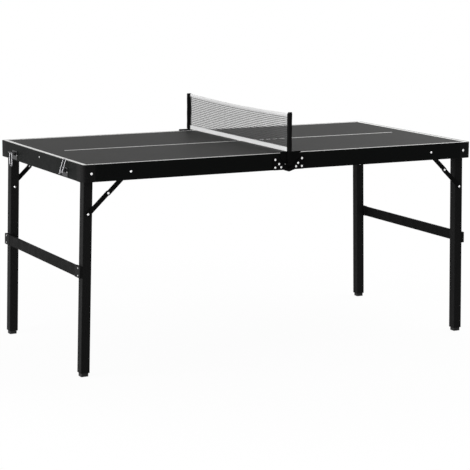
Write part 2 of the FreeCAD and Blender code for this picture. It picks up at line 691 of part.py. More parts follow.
bases, latch_pins = [], []
for place, row in ROWS:
    zs = (
        e("{level} - {latch_height} / 2", level=LATCH_LEVEL),
        e("{level} + {latch_height} / 2", level=LATCH_LEVEL),
    )
    ys = (latch_side(row, "{latch_width} / 2"), latch_side(row, "-{latch_width} / 2"))
    base = [box((outward(-1, "0"), outward(-1, "{latch_plate}")), ys, zs)]
    ear_holes = []
    for end in (-1, 1):
        near = "{end} * ({lever_width} / 2 + {latch_ear_gap})"
        far = "{end} * ({lever_width} / 2 + {latch_ear_gap} + {latch_ear})"
        span = (latch_side(row, e(near, end=end)), latch_side(row, e(far, end=end)))
        nose = e("{latch_nose}")
        base.append(plate("XZ", span, [[
            (outward(-1, "0"), e("{axis} - {latch_nose} * 2", axis=LATCH_AXIS)),
            (outward(-1, "{latch_stand}"), e("{axis} - {latch_nose}", axis=LATCH_AXIS)),
            (outward(-1, "{latch_stand}"), e("{axis} + {latch_nose}", axis=LATCH_AXIS)),
            (outward(-1, "0"), e("{axis} + {latch_nose} * 2", axis=LATCH_AXIS)),
        ]]))
        base.append(rod("y", nose, span, (outward(-1, "{latch_stand}"), LATCH_AXIS)))
        ear_holes.append(drill("y", span, (outward(-1, "{latch_stand}"), LATCH_AXIS), "{latch_pin}"))
    plate_span = (outward(-1, "0"), outward(-1, "{latch_plate}"))
    own = [at for at in LATCH_RIVETS if number(at[0]) * row > 0]
    small = [drill("x", plate_span, at, "{latch_rivet} + {rivet_play}") for at in own]
    bases.append(cut(joined(*base), *ear_holes, *small))
    reach = "{lever_width} / 2 + {latch_ear_gap} + {latch_ear}"
    span = (latch_side(row, "-(" + reach + ")"), latch_side(row, reach))
    latch_pins.append(rod("y", e("{latch_pin}"), span, (outward(-1, "{latch_stand}"), LATCH_AXIS)))
keep(group(*bases), "latch_bases")
keep(group(*latch_pins), "latch_pins")


def swing(piece, angle, at, row):
    """Turns a piece made along +X to an angle above straight out from the left end."""
    turn = Rotation(Vector(0, 1, 0), 180 + angle)
    across = number(latch_side(row, "0"))
    piece.Placement = FreeCAD.Placement(Vector(at[0], across, at[1]), turn)
    return piece


def lever():
    half = e("{lever_width} / 2")
    ys = (times(-1, half), half)
    flat = box(("0", e("{lever_length}")), ys, (e("-{lever_plate} / 2"), e("{lever_plate} / 2")))
    eyes = [rod("y", e("{lever_eye}"), ys, (at, "0")) for at in ("0", e("{bail_arm}"))]
    bores = [drill("y", ys, ("0", "0"), "{latch_pin} + {pivot_play}")]
    bores.append(drill("y", ys, (e("{bail_arm}"), "0"), "{bail_wire} + {pivot_play}"))
    return cut(joined(flat, *eyes), *bores)


def wire(start, end):
    """A straight run of the bail's wire with a ball at its far end."""
    run = doc.addObject("Part::Cylinder", "Wire")
    first, last = [Vector(*[number(value) for value in point]) for point in (start, end)]
    run.Placement = FreeCAD.Placement(first, Rotation(Vector(0, 0, 1), last - first))
    run.setExpression("Radius", e("{bail_wire}"))
    gaps = " + ".join(f"({b} - {a})^2" for a, b in zip(start, end))
    run.setExpression("Height", f"sqrt({gaps})")
    ball = doc.addObject("Part::Sphere", "Bend")
    ball.Placement.Base = last
    ball.setExpression("Radius", e("{bail_wire}"))
    return run, ball


def bail():
    wide = "({bail_width} / 2 - {bail_wire})"
    narrow = "({bail_width} / 2 - {bail_wire} - {bail_bend})"
    near = e("{bail_length} - {bail_wire} - {bail_bend}")
    far = e("{bail_length} - {bail_wire}")
    path = [
        ("0", e("-{lever_width} / 4"), "0"),
        ("0", e("-" + wide), "0"),
        (near, e("-" + wide), "0"),
        (far, e("-" + narrow), "0"),
        (far, e(narrow), "0"),
        (near, e(wide), "0"),
        ("0", e(wide), "0"),
        ("0", e("{lever_width} / 4"), "0"),
    ]
    runs = [wire(a, b) for a, b in zip(path, path[1:])]
    return joined(*[run for run, _ in runs], *[ball for _, ball in runs[:-1]])


for (place, row), lever_angle, bail_angle in zip(
    ROWS, ("lowered_lever", "lifted_lever"), ("raised_bail", "hung_bail")
):
    pivot = (number(outward(-1, "{latch_stand}")), number(LATCH_AXIS))
    angle = number("Sizes." + lever_angle)
    keep(swing(lever(), angle, pivot, row), f"{place}_latch_lever")
    arm = number("Sizes.bail_arm")
    turn = math.radians(angle)
    eye = (pivot[0] - arm * math.cos(turn), pivot[1] + arm * math.sin(turn))
    keep(swing(bail(), number("Sizes." + bail_angle), eye, row), f"{place}_latch_bail")

# Catches on the right end: a riveted plate with a narrow ledge and a lip that hold the bail's wire
catches = []
for place, row in ROWS:
    low = e("{ledge} - {catch_foot}", ledge=CATCH_LEDGE)
    half = e("{catch_hook} / 2")
    hook = (latch_side(row, "-{catch_hook} / 2"), latch_side(row, "{catch_hook} / 2"))
    ys = (latch_side(row, "-{catch_width} / 2"), latch_side(row, "{catch_width} / 2"))
    under = e("{ledge} - {latch_plate}", ledge=CATCH_LEDGE)
    back = (outward(1, "0"), outward(1, "{latch_plate}"))
    backplate = box(back, ys, (low, e("{low} + {catch_height}", low=low)))
    ledge = box((outward(1, "0"), outward(1, "{catch_reach}")), hook, (under, CATCH_LEDGE))
    lip = box(
        (outward(1, "{catch_reach} - {latch_plate}"), outward(1, "{catch_reach}")),
        hook,
        (under, e("{under} + {catch_lip}", under=under)),
    )
    own = [at for at in CATCH_RIVETS if number(at[0]) * row > 0]
    small = [drill("x", back, at, "{latch_rivet} + {rivet_play}") for at in own]
    catches.append(cut(joined(backplate, ledge, lip), *small))
keep(group(*catches), "catches")

# Carry handle on the right end: a moulded bow that turns between two moulded mounts
HANDLE_LEVEL = e("{top} - {handle_drop}", top=TOP)
stub = (outward(1, "{handle_stand}"), HANDLE_LEVEL)
mounts = []
for place, row in ROWS:
    face = "{handle_width} / 2 + {mount_gap}"
    ys = (times(row, face), times(row, face + " + {mount_length}"))
    radius = e("{handle_stand} / 2")
    level = {"level": HANDLE_LEVEL}
    block = plate("XZ", ys, [[
        (outward(1, "0"), e("{level} - {mount_height} / 2", **level)),
        (outward(1, "{mount_depth}"), e("{level} - {mount_height} / 2", **level), radius),
        (outward(1, "{mount_depth}"), e("{level} + {mount_height} / 2", **level), radius),
        (outward(1, "0"), e("{level} + {mount_height} / 2", **level)),
    ]])
    bore = (ys[0], times(row, face + " + {handle_stub}"))
    mounts.append(cut(block, drill("y", bore, stub, "{handle_pin} + {pivot_play}")))
keep(group(*mounts), "handle_mounts")

outer = "{handle_width} / 2"
inner = "({handle_width} / 2 - {handle_bar})"
top = e("{level} + {handle_bar} / 2", level=HANDLE_LEVEL)
low = e("{level} - {handle_length} - {handle_bar} / 2", level=HANDLE_LEVEL)
inside = e("{level} - {handle_length} + {handle_bar} / 2", level=HANDLE_LEVEL)
bend = e("{handle_bend}")
tight = e("{handle_bend} / 2")
bow = plate(
    "YZ",
    (outward(1, "{handle_stand} - {handle_bar} / 2"), outward(1, "{handle_stand} + {handle_bar} / 2")),
    [[
        (e("-" + outer), top),
        (e("-" + outer), low, bend),
        (e(outer), low, bend),
        (e(outer), top),
        (e(inner), top),
        (e(inner), inside, tight),
        (e("-" + inner), inside, tight),
        (e("-" + inner), top),
    ]],
)
stubs = [
    rod("y", e("{handle_pin}"), (
        times(row, "{handle_width} / 2 - {handle_bar} / 2"),
        times(row, "{handle_width} / 2 + {handle_stub}"),
    ), stub)
    for row in (-1, 1)
]
keep(joined(bow, *stubs), "handle_grip")

# Net set: each post is fixed to a plate that hangs over the seam, and its foot stands in a strap that is
# riveted to the left half. A plate is longer on one side, and the two posts' plates are turned about.
posts, brackets, sockets, sleeves = [], [], [], []
POST_FACE = "{table_width} / 2 + {plate_gap} + {plate_thickness}"
for place, row in ROWS:
    def side_of_post(text, row=row):
        return times(row, "{table_width} / 2 + " + text)
    layer = (side_of_post("{plate_gap}"), side_of_post("{plate_gap} + {plate_thickness}"))

    def corner(along, drop, row=row):
        return (times(-row, along), e("{top} - " + drop, top=TOP))
    brackets.append(plate("XZ", layer, [[
        corner("-{plate_short}", "(-{plate_top})"),
        corner("{plate_long}", "(-{plate_top})"),
        corner("{plate_long}", "{plate_shoulder}"),
        corner("{plate_foot} / 2", "{plate_drop}"),
        corner("-{plate_foot} / 2", "{plate_drop}"),
        corner("-{plate_short}", "{plate_shoulder}"),
    ]]))
    post_half = e("{post_width} / 2")
    xs = (times(-1, post_half), post_half)
    ys = (times(row, POST_FACE), times(row, POST_FACE + " + {post_depth}"))
    high = e("{top} + {post_top}", top=TOP)
    tube = box(xs, ys, (e("{top} - {post_foot}", top=TOP), high))
    hollow = box(
        (e("{post_wall} - {post_width} / 2"), e("{post_width} / 2 - {post_wall}")),
        (times(row, POST_FACE + " + {post_wall}"), times(row, POST_FACE + " + {post_depth} - {post_wall}")),
        (e("{top} - {post_foot}", top=TOP), e("{high} - {post_wall}", high=high)),
    )
    posts.append(cut(tube, hollow))

    clear = "{post_width} / 2 + {socket_play}"
    out = POST_FACE + " + {post_depth} + {socket_play}"
    strap = [
        (e("-{socket_flange}"), side_of_post("0")),
        (e("-{socket_flange}"), side_of_post("{socket_wall}")),
        (e("-(" + clear + " + {socket_wall})"), side_of_post("{socket_wall}")),
        (e("-(" + clear + " + {socket_wall})"), times(row, out + " + {socket_wall}")),
        (e(clear + " + {socket_wall}"), times(row, out + " + {socket_wall}")),
        (e(clear + " + {socket_wall}"), side_of_post("{plate_gap}")),
        (e(clear), side_of_post("{plate_gap}")),
        (e(clear), times(row, out)),
        (e("-(" + clear + ")"), times(row, out)),
        (e("-(" + clear + ")"), side_of_post("0")),
    ]
    low = e("{rim} + {socket_low}", rim=RIM)
    loop = plate("XY", (low, e("{low} + {socket_height}", low=low)), [strap])
    flange = (side_of_post("0"), side_of_post("{socket_wall}"))
    sockets.append(cut(loop, drill("y", flange, SOCKET_RIVET, "{socket_rivet} + {rivet_play}")))

    wall = "{sleeve_play} + {sleeve_wall}"
    outer = POST_FACE + " - (" + wall + ")"
    zs = (e("{top} + {sleeve_low}", top=TOP), e("{top} + {tape_top}", top=TOP))
    skin = box(
        (e("-({post_width} / 2 + " + wall + ")"), e("{post_width} / 2 + " + wall)),
        (times(row, outer), times(row, POST_FACE + " + {post_depth} + " + wall)),
        zs,
    )
    room = box(
        (e("-({post_width} / 2 + {sleeve_play})"), e("{post_width} / 2 + {sleeve_play}")),
        (times(row, POST_FACE + " - {sleeve_play}"),
         times(row, POST_FACE + " + {post_depth} + {sleeve_play}")),
        zs,
    )
    band = box(
        (e("-{net_thickness} / 2"), e("{net_thickness} / 2")),
        (times(row, outer), times(row, outer + " - {band_width}")),
        zs,
    )
    sleeves.append(joined(cut(skin, room), band))
keep(group(*brackets), "net_brackets")
keep(group(*posts), "net_posts")
keep(group(*sockets), "net_sockets")
keep(group(*sleeves), "net_sleeves")

end = e(POST_FACE + " - {band_width} - {sleeve_play} - {sleeve_wall}")
ys = (times(-1, end), end)
for name, thickness, low, high in (
    ("net_bottom_tape", "{tape_thickness}", "{hem_low}", "{hem_top}"),
    ("net_mesh", "{net_thickness}", "{hem_top}", "{tape_high}"),
    ("net_top_tape", "{tape_thickness}", "{tape_high}", "{tape_top}"),
):
    half = e(thickness + " / 2")
    zs = (e("{top} + " + low, top=TOP), e("{top} + " + high, top=TOP))
    keep(box((times(-1, half), half), ys, zs), name)

# The rivets that each half's frame carries: hinge leaves, brace seats, the beam, latches, catches and
# the straps of the net posts
for hand, side in SIDES:
    heads = []
    for place, row in ROWS:
        seat = times(row, "{table_width} / 2 + {leaf_thickness}")
        for spot in leaf_rivets(side):
            heads.append(rivet("y", seat, e("{leaf_thickness} + {rail_width}"), row, spot))
        spot = brace_seat(side)
        reach = e("{link_inset} + {link_thickness}")
        pin = rivet("y", outer_face(row), reach, row, spot, "{link_rivet}", "{link_head}")
        inside = times(row, "{table_width} / 2 - {rail_width}")
        collar = rod("y", e("{link_head}"), (inside, times(row, "{table_width} / 2 - {link_inset}")), spot)
        heads.append(joined(pin, collar))
        if side < 0:
            seat = times(row, "{table_width} / 2 + {socket_wall}")
            depth = e("{socket_wall} + {rail_wall} * 2")
            heads.append(rivet("y", seat, depth, row, SOCKET_RIVET, "{socket_rivet}", "{socket_head}"))
    spot = ("0", e("{top} - {beam_rivet_drop}", top=TOP))
    heads.append(rivet("x", times(side, "{half_length}"), e("{rail_width}"), side, spot))
    for at in LATCH_RIVETS if side < 0 else CATCH_RIVETS:
        depth = e("{latch_plate} + {rail_wall} * 2")
        seat = outward(side, "{latch_plate}")
        heads.append(rivet("x", seat, depth, side, at, "{latch_rivet}", "{latch_head}"))
    keep(group(*heads), f"{hand}_frame_rivets")

bad = []
doc.recompute()
for piece in doc.Objects:
    if "Invalid" in piece.State or "Error" in piece.State:
        bad.append(f"{piece.Label}: {piece.State}")
for piece in nodes:
    if piece.Shape.isNull() or not piece.Shape.isValid():
        bad.append(f"{piece.Label}: no valid shape")
if bad:
    raise RuntimeError("; ".join(bad))
os.makedirs("parts", exist_ok=True)
for piece in nodes:
    piece.Shape.exportStep(f"parts/{piece.Label}.step")
    print(f"{piece.Label}: {len(piece.Shape.Solids)} solids, {piece.Shape.Volume / 1000:.1f} cm3")
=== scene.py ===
"""A folding ping pong table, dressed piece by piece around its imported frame. Lengths are in metres."""
import math

import bmesh
import bpy
import numpy as np
from mathutils import Matrix, Vector


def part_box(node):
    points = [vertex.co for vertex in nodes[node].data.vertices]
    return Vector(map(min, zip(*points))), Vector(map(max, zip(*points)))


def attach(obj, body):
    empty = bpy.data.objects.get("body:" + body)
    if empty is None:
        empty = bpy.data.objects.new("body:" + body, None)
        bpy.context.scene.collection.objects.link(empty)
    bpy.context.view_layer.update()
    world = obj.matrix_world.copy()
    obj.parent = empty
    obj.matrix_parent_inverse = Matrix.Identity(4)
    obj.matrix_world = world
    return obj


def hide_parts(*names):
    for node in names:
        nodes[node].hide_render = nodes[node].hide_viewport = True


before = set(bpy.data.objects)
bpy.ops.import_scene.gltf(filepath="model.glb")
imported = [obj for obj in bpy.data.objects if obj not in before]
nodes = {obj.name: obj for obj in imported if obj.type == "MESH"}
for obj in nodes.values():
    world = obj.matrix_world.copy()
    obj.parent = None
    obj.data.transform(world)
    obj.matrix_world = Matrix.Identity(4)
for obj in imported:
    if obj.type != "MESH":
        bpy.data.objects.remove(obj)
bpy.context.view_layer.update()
scene = bpy.context.scene

# The view: a long lens from the front left, a little above the table. Its three axes are worked out
# from its turn round the upright, its dip below level and its slight tilt.
CAMERA_PLACE = Vector((-2.7680, -5.2372, 1.4149))
CAMERA_TURN = math.radians(27.823)
CAMERA_DIP = math.radians(10.084)
CAMERA_TILT = math.radians(0.384)
LENS = 126.20
SENSOR = 36

forward = Vector((
    math.sin(CAMERA_TURN) * math.cos(CAMERA_DIP),
    math.cos(CAMERA_TURN) * math.cos(CAMERA_DIP),
    -math.sin(CAMERA_DIP),
))
level = Vector((math.cos(CAMERA_TURN), -math.sin(CAMERA_TURN), 0))
upright = level.cross(forward)
across = level * math.cos(CAMERA_TILT) + upright * math.sin(CAMERA_TILT)
above = upright * math.cos(CAMERA_TILT) - level * math.sin(CAMERA_TILT)
axes = Matrix((across, above, -forward)).transposed()
lens = bpy.data.cameras.new("camera")
lens.lens = LENS
lens.sensor_width = SENSOR
camera = bpy.data.objects.new("camera", lens)
camera.matrix_world = Matrix.Translation(CAMERA_PLACE) @ axes.to_4x4()
scene.collection.objects.link(camera)
scene.camera = camera
scene.view_settings.view_transform = "Standard"

# The lamps: one large soft lamp low on the left, for the end and the legs, and one over the right half,
# for the top. Both face the middle of the table.
LAMP_AIM = Vector((0, 0, 0.6))


def lamp(name, place, width, height, power):
    """A rectangular soft lamp that faces the middle of the table."""
    light = bpy.data.lights.new(name, "AREA")
    light.shape = "RECTANGLE"
    light.size = width
    light.size_y = height
    light.energy = power
    made = bpy.data.objects.new(name, light)
    made.location = place
    made.rotation_euler = (LAMP_AIM - Vector(place)).to_track_quat("-Z", "Y").to_euler()
    scene.collection.objects.link(made)


lamp("left_softbox", (-4.2, -0.4, 0.9), width=2.6, height=2.0, power=195)
lamp("top_softbox", (1.9, 0.5, 2.9), width=3.0, height=3.0, power=80)

# The room: white all round. It lights the table faintly, and is plain white where it is looked at,
# mirrored in gloss or seen through glass.
FILL = 0.25


def seen_directly(tree):
    """A mask of the rays that reach the eye straight, off gloss or through glass."""
    path = tree.nodes.new("ShaderNodeLightPath")
    mask = path.outputs["Is Camera Ray"]
    for ray in ("Is Glossy Ray", "Is Transmission Ray"):
        larger = tree.nodes.new("ShaderNodeMath")
        larger.operation = "MAXIMUM"
        tree.links.new(mask, larger.inputs[0])
        tree.links.new(path.outputs[ray], larger.inputs[1])
        mask = larger.outputs[0]
    return mask


room = bpy.data.worlds.new("room")
room.use_nodes = True
scene.world = room
tree = room.node_tree
backdrop = tree.nodes["Background"]
strength = tree.nodes.new("ShaderNodeMapRange")
strength.inputs["To Min"].default_value = FILL
strength.inputs["To Max"].default_value = 1
tree.links.new(seen_directly(tree), strength.inputs["Value"])
tree.links.new(strength.outputs["Result"], backdrop.inputs["Strength"])
backdrop.inputs["Color"].default_value = (1, 1, 1, 1)

# The floor: white paper that takes the table's shadow. A white glow covers most of it near the table
# and all of it further off, so that it runs into the room without an edge.
FLOOR_SIZE = 60
FLOOR_WHITE = 0.93
GLOW_NEAR = 0.96
GLOW_START = 0.9
GLOW_END = 1.7

floor_mesh = bpy.data.meshes.new("floor")
half = FLOOR_SIZE / 2
floor_corners = [(-half, -half, 0), (half, -half, 0), (half, half, 0), (-half, half, 0)]
floor_mesh.from_pydata(floor_corners, [], [(0, 1, 2, 3)])
floor = bpy.data.objects.new("floor", floor_mesh)
scene.collection.objects.link(floor)

paper = bpy.data.materials.new("paper")
paper.use_nodes = True
tree = paper.node_tree
shader = tree.nodes["Principled BSDF"]
shader.inputs["Base Color"].default_value = (FLOOR_WHITE, FLOOR_WHITE, FLOOR_WHITE, 1)
shader.inputs["Roughness"].default_value = 1
shader.inputs["Specular IOR Level"].default_value = 0
place = tree.nodes.new("ShaderNodeTexCoord")
distance = tree.nodes.new("ShaderNodeVectorMath")
distance.operation = "LENGTH"
tree.links.new(place.outputs["Object"], distance.inputs[0])
fade = tree.nodes.new("ShaderNodeMapRange")
fade.interpolation_type = "SMOOTHSTEP"
fade.inputs["From Min"].default_value = GLOW_START
fade.inputs["From Max"].default_value = GLOW_END
fade.inputs["To Min"].default_value = GLOW_NEAR
fade.inputs["To Max"].default_value = 1
tree.links.new(distance.outputs["Value"], fade.inputs["Value"])
share = tree.nodes.new("ShaderNodeMath")
share.operation = "MULTIPLY"
tree.links.new(seen_directly(tree), share.inputs[0])
tree.links.new(fade.outputs["Result"], share.inputs[1])
glow = tree.nodes.new("ShaderNodeEmission")
mixed = tree.nodes.new("ShaderNodeMixShader")
tree.links.new(share.outputs[0], mixed.inputs["Fac"])
tree.links.new(shader.outputs["BSDF"], mixed.inputs[1])
tree.links.new(glow.outputs["Emission"], mixed.inputs[2])
tree.links.new(mixed.outputs["Shader"], tree.nodes["Material Output"].inputs["Surface"])
floor_mesh.materials.append(paper)

# Boards: two square wooden panels faced with dark laminate, let into the frame flush with its lip.
# A white line is painted round the playing area, and a thinner one along its middle, short of both
# ends.
BORDER_WIDTH = 0.010
END_WIDTH = 0.0148
MIDDLE_WIDTH = 0.008
MIDDLE_REACH = 0.6675
PAINT_DEPTH = 0.001
PAINT = (0.93, 0.93, 0.92)
PAINT_SPECKLE = 0.94
LAMINATE = (0.031, 0.031, 0.0303)
LAMINATE_SHADES = (0.96, 1.04)
SHADE_RANGE = (0.35, 0.65)
NOISE_RANGE = (0.3, 0.7)
SPECKLE_DETAIL = 4
DRIFT_SHARE = 0.025


def grain_group():
    """Fine speckle and slow drift: noise at the grain's scale, and noise at a fortieth of it."""
    group = bpy.data.node_groups.new("grain", "ShaderNodeTree")
    group.interface.new_socket("Place", in_out="INPUT", socket_type="NodeSocketVector")
    group.interface.new_socket("Scale", in_out="INPUT", socket_type="NodeSocketFloat")
    group.interface.new_socket("Fine", in_out="OUTPUT", socket_type="NodeSocketFloat")
    group.interface.new_socket("Slow", in_out="OUTPUT", socket_type="NodeSocketFloat")
    start = group.nodes.new("NodeGroupInput")
    end = group.nodes.new("NodeGroupOutput")
    fine = group.nodes.new("ShaderNodeTexNoise")
    slow = group.nodes.new("ShaderNodeTexNoise")
    fine.inputs["Detail"].default_value = SPECKLE_DETAIL
    fraction = group.nodes.new("ShaderNodeMath")
    fraction.operation = "MULTIPLY"
    fraction.inputs[1].default_value = DRIFT_SHARE
    group.links.new(start.outputs["Place"], fine.inputs["Vector"])
    group.links.new(start.outputs["Place"], slow.inputs["Vector"])
    group.links.new(start.outputs["Scale"], fine.inputs["Scale"])
    group.links.new(start.outputs["Scale"], fraction.inputs[0])
    group.links.new(fraction.outputs[0], slow.inputs["Scale"])
    group.links.new(fine.outputs["Fac"], end.inputs["Fine"])
    group.links.new(slow.outputs["Fac"], end.inputs["Slow"])
    return group


GRAIN = grain_group()


class Finish:
    """A material under construction: its tree, its shader, its place on the piece and its grain."""

    def __init__(self, name, color, roughness, specular, scale, metallic=0.0):
        self.material = bpy.data.materials.new(name)
        self.material.use_nodes = True
        self.tree = self.material.node_tree
        self.shader = self.tree.nodes["Principled BSDF"]
        self.shader.inputs["Base Color"].default_value = (*color, 1)
        self.shader.inputs["Roughness"].default_value = roughness
        self.shader.inputs["Specular IOR Level"].default_value = specular
        self.shader.inputs["Metallic"].default_value = metallic
        self.place = self.add("ShaderNodeTexCoord").outputs["Object"]
        grain = self.add("ShaderNodeGroup", node_tree=GRAIN)
        self.link(self.place, grain.inputs["Place"])
        grain.inputs["Scale"].default_value = scale
        self.fine = grain.outputs["Fine"]
        self.slow = grain.outputs["Slow"]

    def add(self, kind, **settings):
        """A new node of the material's tree."""
        node = self.tree.nodes.new(kind)
        for name, value in settings.items():
            setattr(node, name, value)
        return node

    def link(self, value, socket):
        """Feeds a socket from another, or sets it to a number."""
        if hasattr(value, "links"):
            self.tree.links.new(value, socket)
        else:
            socket.default_value = value

    def math(self, operation, first, second=0.0):
        """One sum on two sockets or numbers."""
        node = self.add("ShaderNodeMath", operation=operation)
        self.link(first, node.inputs[0])
        self.link(second, node.inputs[1])
        return node.outputs[0]

    def apart(self):
        """The distances from the table's middle along it and across it, and the height."""
        xyz = self.add("ShaderNodeSeparateXYZ")
        self.link(self.place, xyz.inputs[0])
        along = self.math("ABSOLUTE", xyz.outputs["X"])
        across = self.math("ABSOLUTE", xyz.outputs["Y"])
        return along, across, xyz.outputs["Z"]

    def spread(self, value, source, target):
        """Maps a value from one range to another."""
        node = self.add("ShaderNodeMapRange")
        self.link(value, node.inputs["Value"])
        self.link(source[0], node.inputs["From Min"])
        self.link(source[1], node.inputs["From Max"])
        self.link(target[0], node.inputs["To Min"])
        self.link(target[1], node.inputs["To Max"])
        return node.outputs["Result"]

    def blend(self, mask, first, second):
        """A colour that goes from the first to the second as the mask goes from 0 to 1."""
        node = self.add("ShaderNodeMix", data_type="RGBA")
        colors = [socket for socket in node.inputs if socket.type == "RGBA"]
        self.link(mask, node.inputs["Factor"])
        for value, socket in zip((first, second), colors):
            self.link(value if hasattr(value, "links") else (*value, 1), socket)
        return next(socket for socket in node.outputs if socket.type == "RGBA")

    def color(self, value):
        self.link(value, self.shader.inputs["Base Color"])

    def roughness(self, value):
        self.link(value, self.shader.inputs["Roughness"])

    def bump(self, strength, depth):
        """Raises the fine speckle off the surface."""
        node = self.add("ShaderNodeBump")
        node.inputs["Strength"].default_value = strength
        node.inputs["Distance"].default_value = depth
        self.link(self.fine, node.inputs["Height"])
        self.link(node.outputs["Normal"], self.shader.inputs["Normal"])


def coat(name, color, roughness, specular, scale, bump, depth=0.0002, metallic=0.0, drift=True):
    """A hard finish, whose roughness runs from low to high with the grain's slow drift, or with its
    fine speckle."""
    finish = Finish(name, color, sum(roughness) / 2, specular, scale, metallic)
    noise = finish.slow if drift else finish.fine
    finish.roughness(finish.spread(noise, NOISE_RANGE, roughness))
    finish.bump(bump, depth)
    return finish


def dress(finish, *names):
    """Gives CAD nodes their finish."""
    for name in names:
        mesh = nodes[name].data
        mesh.materials.clear()
        mesh.materials.append(finish.material)


def shaded(color, shade):
    """A colour made lighter or darker."""
    return tuple(channel * shade for channel in color)


_, board_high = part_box("right_board")
laminate = coat(
    "board_laminate", LAMINATE, roughness=(0.54, 0.56), specular=0.022, scale=700, bump=0.12
)
along, off_middle, height = laminate.apart()
end_line = laminate.math("GREATER_THAN", along, board_high.x - END_WIDTH)
side_line = laminate.math("GREATER_THAN", off_middle, board_high.y - BORDER_WIDTH)
middle_line = laminate.math("LESS_THAN", off_middle, MIDDLE_WIDTH / 2)
in_reach = laminate.math("LESS_THAN", along, MIDDLE_REACH)
middle_line = laminate.math("MULTIPLY", middle_line, in_reach)
on_top = laminate.math("GREATER_THAN", height, board_high.z - PAINT_DEPTH)
lines = laminate.math("MAXIMUM", end_line, side_line)
lines = laminate.math("MAXIMUM", lines, middle_line)
lines = laminate.math("MULTIPLY", lines, on_top)
drift = laminate.spread(laminate.slow, SHADE_RANGE, (0, 1))
dark = laminate.blend(drift, *[shaded(LAMINATE, shade) for shade in LAMINATE_SHADES])
white = laminate.blend(laminate.fine, shaded(PAINT, PAINT_SPECKLE), PAINT)
laminate.color(laminate.blend(lines, dark, white))
dress(laminate, "left_board", "right_board")

# Frame rails: hollow extruded aluminium bars with a lip that stands up round the board, powder coated
# black. A beam under each board has the same coat, and is riveted between the side rails.
HANDS = ("left", "right")

powder_coat = coat(
    "rail_powder_coat", (0.0034, 0.0039, 0.0037), roughness=(0.47, 0.53), specular=0.03, scale=1500,
    bump=0.25,
)
for hand in HANDS:
    rails = [f"{hand}_{place}_rail" for place in ("front", "back", "end", "inner")]
    dress(powder_coat, *rails, f"{hand}_beam")


# Moulded pieces: the frame's corners, the plugs and caps that close its bars, the leg spacers and the
# carry handle. They are black plastic from moulds with a fine spark-eroded texture.
def grey(value):
    return (value, value, value)


moulded = coat(
    "moulded_plastic", grey(0.007), roughness=(0.48, 0.66), specular=0.04, scale=2200, bump=0.35,
    drift=False,
)
for hand in HANDS:
    dress(moulded, *[f"{hand}_{name}" for name in ("corners", "rail_plugs", "leg_spacers", "bar_caps")])
dress(moulded, "handle_grip", "handle_mounts")

# Legs: square aluminium tubes with a satin black coat, each turning on a bolt through its corner. The
# coat is a shade lighter than the frame's.
leg_coat = coat(
    "leg_satin_black", grey(0.0108), roughness=(0.46, 0.62), specular=0.02, scale=1500, bump=0.2
)
for hand in HANDS:
    dress(leg_coat, f"{hand}_front_leg", f"{hand}_back_leg")

# Crossbars: flat hollow aluminium bars riveted across each pair of legs. Their black coat is duller than
# that of the legs.
bar_coat = coat(
    "bar_matt_black", grey(0.0042), roughness=(0.5, 0.66), specular=0.03, scale=1500, bump=0.2
)
dress(bar_coat, "left_crossbar", "right_crossbar")

# Feet: soft black rubber plugs, moulded, pushed into the ends of the leg tubes and cut off level with
# the floor.
rubber = coat(
    "foot_rubber", grey(0.014), roughness=(0.62, 0.8), specular=0.2, scale=1200, bump=0.3,
    depth=0.0003, drift=False,
)
dress(rubber, "left_feet", "right_feet")

# Pressed pieces: the hinge leaves with their pins, the folding braces' links, and the net's posts,
# plates and straps. They are cut and bent from steel sheet and coated black.
pressed = coat(
    "pressed_steel_black", grey(0.0038), roughness=(0.4, 0.54), specular=0.022, scale=1400, bump=0.2
)
for hand in HANDS:
    dress(pressed, f"{hand}_hinge_leaves", f"{hand}_upper_links", f"{hand}_lower_links")
dress(pressed, "net_posts", "net_brackets", "net_sockets", "hinge_pins")

# Rivets, leg bolts and latch pins: bare aluminium, drawn into low domes. The rivets of the net's
# straps, close to the seam, and those of the end faces are blackened.
BLACK_NEAR_SEAM = 0.020
BLACK_ON_ENDS = 0.7601
BRIGHT = grey(0.82)
BLACKENED = grey(0.16)
METAL = {"depth": 0.0001, "metallic": 1.0, "drift": False}

rivet_metal = coat(
    "rivet_aluminium", BRIGHT, roughness=(0.3, 0.48), specular=0.5, scale=2500, bump=0.1, **METAL
)
along, _, _ = rivet_metal.apart()
near_seam = rivet_metal.math("LESS_THAN", along, BLACK_NEAR_SEAM)
on_end = rivet_metal.math("GREATER_THAN", along, BLACK_ON_ENDS)
blackened = rivet_metal.math("MAXIMUM", near_seam, on_end)
rivet_metal.color(rivet_metal.blend(blackened, BRIGHT, BLACKENED))
for hand in HANDS:
    dress(rivet_metal, f"{hand}_frame_rivets", f"{hand}_leg_bolts")
    dress(rivet_metal, f"{hand}_leg_rivets", f"{hand}_link_rivets")
dress(rivet_metal, "latch_pins")

# Latches: pressed steel levers and bails of bent wire, plated bright. The plates that they sit on, and
# the catches at the other end, have a darker plating.
plating = coat(
    "latch_plating", (0.27, 0.27, 0.28), roughness=(0.22, 0.42), specular=0.5, scale=1800, bump=0.1,
    **METAL,
)
dress(plating, "front_latch_lever", "front_latch_bail", "back_latch_lever", "back_latch_bail")
dark_plating = coat(
    "latch_plate_plating", (0.042, 0.042, 0.044), roughness=(0.3, 0.48), specular=0.5, scale=1800,
    bump=0.1, **METAL,
)
dress(dark_plating, "latch_bases", "catches")

# Net: square-knotted dark thread, made up between two tapes. Every thread is a round tube, and the
# tubes simply cross where the real net has knots. The net rises a little towards the back post and sags
# between the posts.
NET_PITCH = 0.0068
ROW_RADIUS = 0.00115
UPRIGHT_RADIUS = 0.00065
THREAD_SIDES = 6
TAPE_RISE = 0.0042
TAPE_SAG = 0.0062
WEAVE_DEPTH = 0.0003


